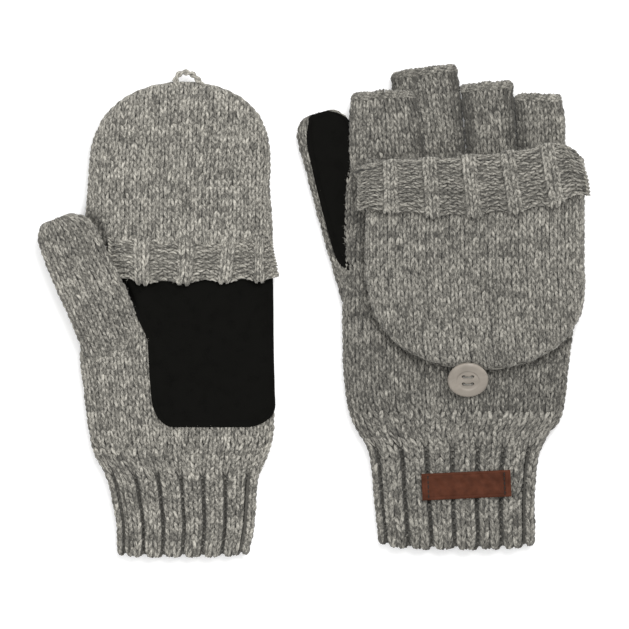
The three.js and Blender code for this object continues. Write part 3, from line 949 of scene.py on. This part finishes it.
def left_hand():
    rows = [
        (2, -31.8, 34, 1.7, 9.8), (15, -32.2, 36.3, 1.7, 9.9), (27, -34.2, 37.2, 1.7, 10),
        (39, -37, 38.2, 1.5, 10.2), (45, -40, 40.4, 1, 10.3), (51, -43.5, 43.4, 0.4, HAND_TOP),
        (57, -45.2, 45.4, 0.3, 10.6), (66, -46.8, 46.4, 0.3, 10.8), (86, -49.2, 46.2, 0.3, 11),
        (100, -50.8, 45.8, 0.3, 11), (130, -50.8, 45.5, 0.3, 11),
        (LEFT_HINGE - 0.5, -47, 45, 0.3, 10.6),
    ]
    change = lambda grid: make_room_for_button(press_under_thumb(creases(grid, 11, 0.5, 34)))
    fabrics = body_fabrics("left", rows, CUFF_COLUMNS, 54, LEFT_CUFF_ROWS, change)
    fabric = fabrics[1]
    rows = (row_at(fabric, 65.4), row_at(fabric, 148))
    table_rows = np.linspace(rows[0] - 2, rows[1] + 2, 30)
    table = left_outline(table_rows, fabric)
    left = lambda r: np.interp(r, table_rows, table)
    right = lambda r: np.full_like(r, 0.262 * fabric.columns)
    body_pieces("left", fabrics, LEFT_CUFF_ROWS, 100, covered(fabric, left, right, rows, turn=27))
    name = "left_palm_patch_suede"
    made = patch(name, "left", fabric, left, right, rows, 0.75, corner=(3.2, 5.0), right_corner=(5.2, 6.0))
    fitted(made, ["left_palm_patch"], "left_hand")


def thumb_rows(base, tip, length, low, high, start, start_low, start_high, waist=0.0, bend=0.0):
    """A thumb's rows from inside the hand, at start, to its round tip. Its outer edge is drawn in by waist
    at the base, and its tip bends aside."""
    middle, half = (low + high) / 2, (high - low) / 2
    outer = waist - base
    rows = [(start, outer, base, start_low, start_high), (length * 0.35, outer, base, low, high)]
    rows += [(length * 0.8, -tip - 0.5, tip + 0.5, low, high)]
    for s in np.sin(np.linspace(0.1, 1.53, 14)):
        width = tip * (1 - s ** 2.2) ** (1 / 2.1)
        share = math.sqrt(1 - s ** 4)
        aside = bend * s * s
        bottom, top = middle - half * share, middle + half * share
        rows.append((length + tip * s, aside - width, aside + width, bottom, top))
    return rows


def thumb(side, place, rows, seed, face, patch_side, patch_rows):
    """The thumb, with its suede patch on one face: 0 is the top, and 0.5 the underside. patch_side gives
    the patch's left and right edges in millimetres, at the distance along the thumb."""
    grid, girth = tube(rows, square=3.0, round_off=2.2, around=110)
    grid = turned(creases(grid, seed, 0.35, 22), place["pivot"], place["lean"])
    columns = 2 * round(girth.max() / 2 / COLUMN)
    fabric = Fabric(grid, ROW[side], columns=columns)
    start, end = rows[0][0], rows[-1][0]
    span = [(along - start) / (end - start) * fabric.rows for along in patch_rows]
    table_rows = np.linspace(*span, 24)
    table_along = start + table_rows / fabric.rows * (end - start)
    left, right = edge_lines(table_rows, [
        fabric.column_at(x, table_rows, place, under=face > 0) for x in patch_side(table_along)
    ])
    cut = covered(fabric, left, right, span, turn=0 if face else columns / 2)
    piece = Piece(f"{side}_thumb_knit", side, WOOL[side])
    lay_stitches(piece, fabric, *all_cells(columns, 0, fabric.rows - 1), seed, cut=cut, lighter=THUMB_TONE)
    shell(piece, fabric, layer=1.0, close_end=True)
    made = piece.made()
    bend_thumb(made)
    fitted(made, [f"{side}_thumb"])
    name = f"{side}_thumb_patch_suede"
    made = patch(name, side, fabric, left, right, span, 0.9, corner=(2.4, 3.6), top_corner=(2.8, 4.6))
    bend_thumb(made)
    fitted(made, [f"{side}_thumb_patch"])


def bend_thumb(made):
    """Bakes the thumb's placement into its mesh. A thumb is knitted into the hand at its base."""
    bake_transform(made)


def cap_rows(
    hinge, way, start, first_depth, straight, tip, half, flare, centre, tip_centre, low, depth, blunt,
):
    """A cap's rows from its open edge, which is first_depth high, to its rounded tip, which is squarer the
    larger blunt is. way is 1 for a closed cap and -1 for one folded back."""
    wide = half + flare
    rows = [(hinge + way * start, centre - wide, centre + wide, low, low + first_depth)]
    for u in (10, (10 + straight) / 2, straight):
        wide = half + flare * (straight - u) / (straight - 10)
        rows.append((hinge + way * u, centre - wide, centre + wide, low, low + depth))
    for s in np.sin(np.linspace(0.12, 1.53, 18)):
        u = straight + s * (tip - straight)
        width = half * math.sqrt(1 - s ** blunt)
        x = centre + (tip_centre - centre) * s
        thick = depth * math.sqrt(1 - s ** 5)
        rise = (depth - thick) * 0.25
        rows.append((hinge + way * u, x - width, x + width, low + rise, low + rise + thick))
    return rows if way > 0 else rows[::-1]


def left_cap():
    rows = cap_rows(
        LEFT_HINGE, way=1, start=1.0, first_depth=13.7, straight=30, tip=82, half=45.6, flare=1.3,
        centre=-1.3, tip_centre=1.2, low=0.3, depth=13.7, blunt=3.2,
    )
    grid, girth = tube(rows, square=5.0)
    grid = press_under_thumb(creases(grid, 21, 0.6, 40), 5.4)
    piece = Piece("left_cap_knit", "left", WOOL["left"])
    two_faced(piece, grid, girth, 200, ROW["left"], CAP_LAYER)
    fitted(piece.made(), ["left_cap_back", "left_cap_front"], "left_cap")


# Turned and hanging brims: narrow knit ribs between wide purl panels

BRIM_ROW = 2.9  # a stitch's height
BRIM_RIB = 5  # columns from rib to rib
BRIM_RIB_AT = 3  # the first rib's first column


def brim_local(c):
    return np.mod(c - BRIM_RIB_AT, BRIM_RIB)


def brim(side, grid, columns, seed):
    fabric = Fabric(grid, BRIM_ROW, columns=columns, closed=False)
    fabric.relief = lambda c, r: (
        0.5 * np.sin(np.pi * np.clip(brim_local(c) / 2, 0, 1))
        - 0.6 * np.sin(np.pi * np.clip((brim_local(c) - 2) / 3, 0, 1))
    )
    fabric.spread = lambda c, r: c - brim_local(c) + np.interp(brim_local(c), (0, 2, 5), (0, 1.85, 5))
    piece = Piece(f"{side}_cap_brim_knit", side, WOOL[side])
    purl = lambda c, r: brim_local(c) >= 2
    lay_stitches(piece, fabric, *all_cells(columns, 0, fabric.rows), seed, purl, lighter=BRIM_TONE[side])
    # the brim's cloth behind the stitches carries a lighter painted shade
    shell(piece, fabric, layer=1.6, tone=-0.06)
    for column in (0, columns):
        rows = np.linspace(0.25 * fabric.rows, fabric.rows, 14)
        cord_mesh(piece, fabric.at(column, rows, 0.9), 0.62, turns=5, seed=seed + column)
    return fitted(piece.made(), [f"{side}_cap_brim"])


def brim_wave(u, columns):
    """1 in the middle of each purl panel and -1 on each rib."""
    return -np.cos((u * columns - BRIM_RIB_AT - 1) / BRIM_RIB * 2 * np.pi)


def left_brim():
    """It hangs from the front of the cap over the palm, and flares at its free edge."""
    columns = 23
    u = np.linspace(0, 1, 140)
    v = np.linspace(0, 1, 30)[:, None]
    top_x = curve([(0, -36), (0.9, 42.6), (1, 45.2)], u)[:, 0]
    low_x = curve([(0, -35.4), (0.9, 44.4), (1, 49.6)], u)[:, 0]
    x = top_x + (low_x - top_x) * v ** 2
    wave = brim_wave(u, columns)
    edge_y = curve([(0, 139), (0.25, 137.4), (0.6, 138.2), (0.9, 138.8), (1, 141)], u)[:, 0] + 0.7 * wave
    y = 160.5 + (edge_y - 160.5) * v
    side_drop = 6 * ease(u, 0.94, 1.0) + 1.2 * (1 - ease(u, 0, 0.08))
    z = 14.0 + 2.2 * np.sin(np.pi * v) + 1.4 * v ** 3 - 0.5 * wave * v - side_drop
    grid = np.stack(np.broadcast_arrays(x, y, z), -1)
    made = brim("left", press_under_thumb(grid[::-1], 10.8), columns, 240)
    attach(made, "left_cap")


# Right mitten

RIGHT_HINGE = 199.9
RIGHT_CUFF_ROWS = 20
RIGHT_THUMB = {"pivot": (-42.6, 127), "lean": 16.4}
CAP_LOW = RIGHT_BASE + HAND_TOP + 0.8
CAP_DEPTH = 14.1


def right_hand():
    low, top = RIGHT_BASE, RIGHT_BASE + HAND_TOP
    rows = [
        (2.4, -39.6, 38, low, top - 0.6), (7, -40, 38.2, low, top - 0.6), (23, -41.5, 38.1, low, top - 0.4),
        (35, -42.5, 38.6, low, top), (47, -44, 40.1, low, top), (53, -46, 42.6, low, top),
        (59, -50, 46.1, low, top), (65, -53, 51, low, top), (71, -55, 53, low, top),
        (89, -57.4, 55, low, top), (113, -58, 58, low, top),
        (131, -57.8, 60, low, top), (148, -57.8, 59.6, low, top), (162, -57.4, 59, low + 2.4, top),
        (187, -55.8, 57.5, low + 2.4, top), (RIGHT_HINGE - 0.5, -54.5, 56, low + 2.4, top - 4.5),
    ]
    change = lambda grid: creases(grid, 31, height=0.45, size=38)
    fabrics = body_fabrics("right", rows, CUFF_COLUMNS, 60, RIGHT_CUFF_ROWS, change)
    fabric = fabrics[1]
    rows = (row_at(fabric, 80), row_at(fabric, 190))
    table_rows = np.linspace(rows[0] - 2, rows[1] + 2, 30)
    table_y = np.linspace(75, 195, 30)
    outline = curve([(70, -22.5), (125, -22.5), (140, -35), (196, -38)], table_y)[:, 0]
    left, right = edge_lines(table_rows, [
        fabric.column_at(x, table_rows, under=True) for x in (outline, np.full(30, 51.0))
    ])
    body_pieces("right", fabrics, RIGHT_CUFF_ROWS, 300, covered(fabric, left, right, rows))
    made = patch("right_palm_patch_suede", "right", fabric, left, right, rows, 0.7, corner=(2.7, 3.9))
    fitted(made, ["right_palm_patch"], "right_hand")


def right_cap():
    rows = cap_rows(
        RIGHT_HINGE, way=-1, start=4.0, first_depth=7.0, straight=58, tip=109.4, half=54.7, flare=0,
        centre=8.3, tip_centre=11, low=CAP_LOW, depth=CAP_DEPTH, blunt=2.8,
    )
    grid, girth = tube(rows, square=5.5)
    grid = creases(grid, 41, 0.7, 42)
    grid, girth = grid[::-1, ::-1], girth[::-1]
    piece = Piece("right_cap_knit", "right", WOOL["right"])
    two_faced(piece, grid, girth, 400, ROW["right"], CAP_LAYER)
    fitted(piece.made(), ["right_cap_back", "right_cap_front"], "right_cap")


def right_brim():
    """Turned up over the front of the cap: a round fold at the top, and a wavy free edge below."""
    columns = 28
    u = np.linspace(0, 1, 160)
    v = np.linspace(0, 1, 36)
    wave = brim_wave(u, columns)
    fold_y = curve([
        (0, 190), (0.03, 192.4), (0.16, 194), (0.48, 196.2), (0.7, 198.6), (0.93, 202.8), (1, 198.5),
    ], u)[:, 0]
    edge_y = curve([
        (0, 171.5), (0.2, 169.8), (0.4, 168), (0.6, 169.6), (0.83, 173), (0.93, 177.4), (1, 178.6),
    ], u)[:, 0]
    edge_y = edge_y + 0.8 * wave
    fold_x = -50 + 109.5 * u
    edge_x = -50.4 + 116 * u - 0.8 * ease(u, 0.9, 1)
    turn = np.minimum(v / 0.2, 1) * np.pi
    run = np.clip((v - 0.2) / 0.8, 0, 1)[:, None]
    bend = 2.4
    y = fold_y + bend * (np.sin(turn)[:, None] - 0.5) + (edge_y - fold_y) * run
    x = fold_x + (edge_x - fold_x) * run + 1.2 * ease(u, 0.9, 1) * np.sin(np.pi * run)
    z = CAP_LOW + CAP_DEPTH - 1.0 + bend * (1 - np.cos(turn))[:, None]
    z = z + 1.2 * np.sin(np.pi * run) - 1.0 * run ** 2
    side_drop = 4.5 * ease(u, 0.95, 1.0) + 7 * (1 - np.sqrt(np.clip(u / 0.045, 0, 1)))
    z = z - side_drop - 0.4 * wave * run
    grid = np.stack(np.broadcast_arrays(x, y, z), -1)
    made = brim("right", grid[:, ::-1], columns, 440)
    bend_brim(made)


def bend_brim(made):
    """Bakes the turned-up brim's placement into its mesh. Its fold slants."""
    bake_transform(made)


def press_into_cap(made, name):
    """Gives a stall its own mesh. The axis, anchor and share kept, for squeezing the index stall from its
    side and the others flat, are set but not used.
    """
    if name == "index_stall":
        axis, anchor, keep = (1, 0, 0), (-15.0, 210.0, 7.0), 0.72
    else:
        axis, anchor, keep = (0, 0, 1), (0.0, 210.0, 8.2), 0.35
    anchor = tuple((np.array(anchor) + ORIGIN["right"]) * MM)
    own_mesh(made)


def dress_cad():
    """The buttons and their threads keep the CAD model's own shape."""
    for side in ("left", "right"):
        for name, material in (("button", PLASTIC), ("button_thread", THREAD)):
            mesh = bpy.data.objects[f"{side}_{name}"].data
            mesh.materials.clear()
            mesh.materials.append(material)


camera()
# the right mitten's wool is a darker copy of the left's, drawn darker as painted shade
WOOL = {"left": wool("left wool", 0.6), "right": wool("right wool in painted shade", 0.48)}
SUEDE = suede()
LEATHER = leather()
PLASTIC = plastic()
THREAD = thread("button thread", (0.06, 0.055, 0.05), (0.26, 0.25, 0.22))
DARK_THREAD = thread("label thread", (0.012, 0.007, 0.005), (0.03, 0.018, 0.012))
studio()
dress_cad()

left_hand()
left_cap()
left_brim()
left_thumb_rows = thumb_rows(
    base=17.0, tip=15.2, length=THUMB_STRAIGHT + 0.4, low=6.4, high=15.8,
    start=-14, start_low=3, start_high=8, waist=1.8, bend=-2.4,
)
left_patch = lambda along: (0 * along - 11.5, 0 * along + 11.5)
thumb("left", LEFT_THUMB, left_thumb_rows, 260, face=0.5, patch_side=left_patch, patch_rows=(14, 62))
for name, rows, tilt, seed in (
    ("index_stall", [(156.2, -36, -19.2), (168, -39, -20), (183, -44.5, -22)], 0, 270),
    ("middle_stall", [(156.2, -18.8, 0.8), (194, -21.5, 0.2)], 0, 274),
    ("ring_stall", [(156.2, 1.2, 20.8), (187, 0.7, 21)], 0, 278),
    ("pinky_stall", [(156.2, 21.2, 41), (181, 21.5, 40.5)], 0, 282),
):
    stall("left", name, rows, 3.0, 7.2, tilt, seed)
loop("left", [
    (-2.9, 235, 7), (-2.8, 238.5, 7), (-1.6, 241.2, 7), (1.6, 242.6, 7), (5, 241.8, 7),
    (7.8, 239.4, 7), (10.2, 236.2, 7), (11, 232.5, 7),
], 700)
label("left", (1, 27), z=1.45, facing=-1, turn=0)

right_hand()
right_cap()
right_brim()
right_thumb_rows = thumb_rows(
    base=16.7, tip=14.2, length=83.4, low=0.6, high=7.8, start=-12, start_low=2.2, start_high=7, waist=1.2,
)
right_patch = lambda along: (
    curve([(0, -12), (31, -12.3), (88, -9.4), (98, -7)], along)[:, 0], 0 * along + 14,
)
thumb("right", RIGHT_THUMB, right_thumb_rows, 460, face=0, patch_side=right_patch, patch_rows=(14, 94.5))
for name, rows, low, tilt, seed in (
    ("index_stall", [
        (188, -54.2, -15.2), (213, -54.6, -17.6), (224, -54, -20), (228.5, -52.6, -22.6),
    ], 4.4, 0.05, 470),
    ("middle_stall", [
        (188, -27.0, 4.6), (208, -29.5, 3.2), (224, -32, 1.7),
        (232, -33.2, 0.8), (238, -33.4, -0.4), (240.5, -32, -1.6),
    ], 0.2, 0.13, 474),
    ("ring_stall", [(188, 4.8, 30), (212, 3.2, 29), (228, 1.4, 28), (232.8, 1.4, 26.8)], 1.6, 0.08, 478),
    ("pinky_stall", [
        (188, 29.8, 53.4), (212, 28.8, 53.8), (223, 28, 52.6), (227.2, 28.8, 50.8),
    ], 0.9, 0.0, 482),
):
    depth = INDEX_DEPTH if name == "index_stall" else STALL_DEPTH
    # the folds of each stall that get painted shade
    pressed = {"index_stall": (0.25,), "pinky_stall": (0.75,)}.get(name, (0.25, 0.75))
    made = stall("right", name, rows, low, depth, tilt, seed, pressed)
    press_into_cap(made, name)
loop("right", [
    (0.5, 93, 15), (-0.4, 88, 13.9), (1.6, 83.6, 13.5), (4.8, 82, 13.4),
    (8, 83.6, 13.5), (10, 88, 13.9), (9.1, 93, 15),
], 720)
label("right", (4.1, 33), z=12.1, facing=1, turn=2.6)
